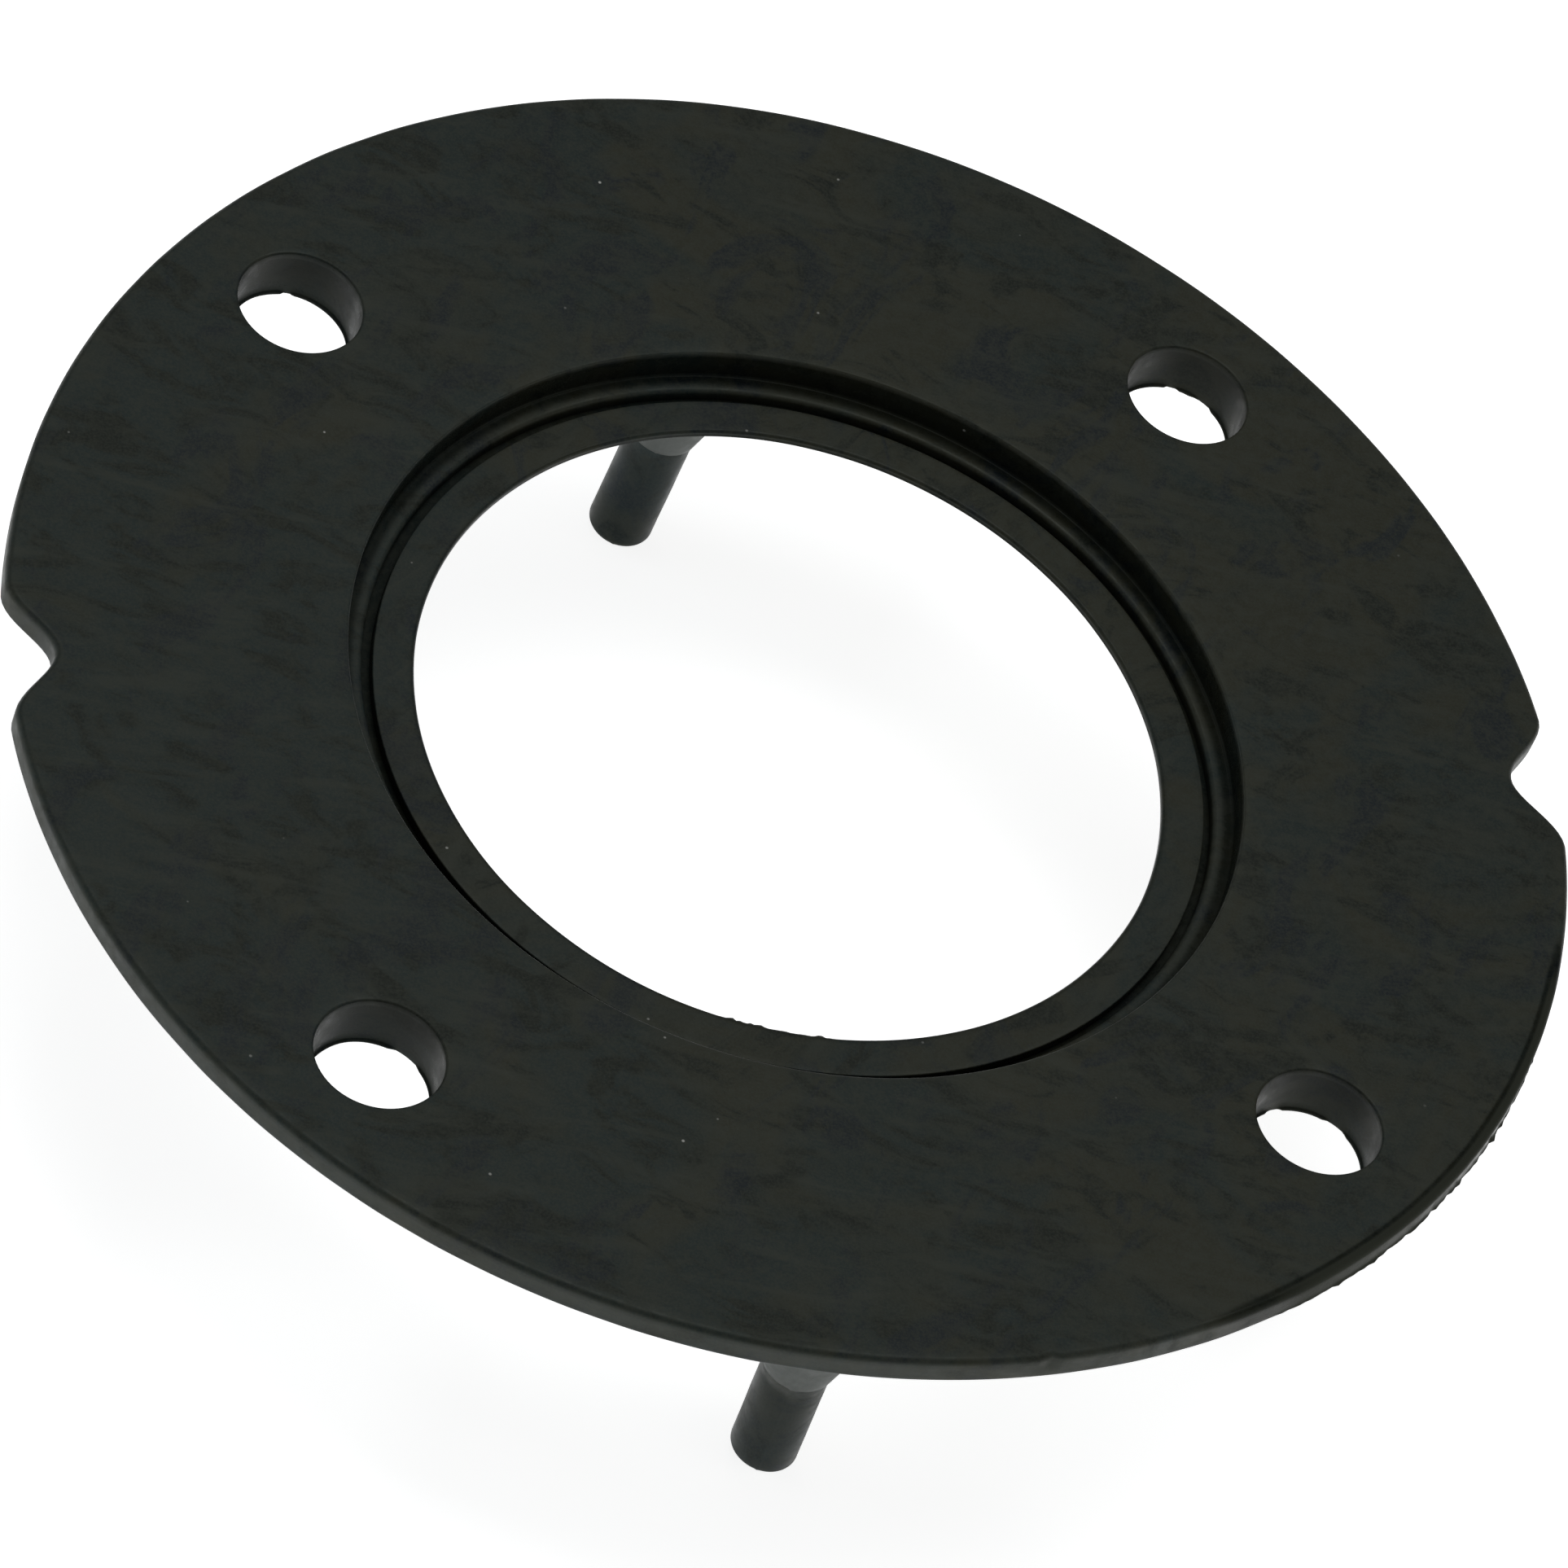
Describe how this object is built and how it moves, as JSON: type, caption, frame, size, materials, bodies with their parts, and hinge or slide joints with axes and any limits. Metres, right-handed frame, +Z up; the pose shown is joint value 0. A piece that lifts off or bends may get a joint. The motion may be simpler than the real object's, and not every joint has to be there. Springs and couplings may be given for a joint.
{
  "type": "toilet flange seal",
  "caption": "Flat round rubber flange seal with bolt holes, rim notches, a recessed thin sealing lip round the pipe opening and barbed pull-through pegs underneath.",
  "frame": {"origin": "centre of the bolt circle and pipe opening, on the underside pad", "axes": "+Z up out of the top face, +X through a rim notch, +Y towards the rear peg"},
  "size_m": [0.177, 0.178, 0.0462],
  "materials": {
    "flange_rubber": "matte moulded black rubber, faintly mottled",
    "lip_rubber": "matte moulded black rubber, smooth",
    "peg_rubber": "smooth black rubber with a slight sheen"
  },
  "bodies": {
    "root": {"flange_ring": "flange_rubber", "lip_ring": "lip_rubber", "peg_front": "peg_rubber", "peg_rear": "peg_rubber"}
  },
  "joints": []
}
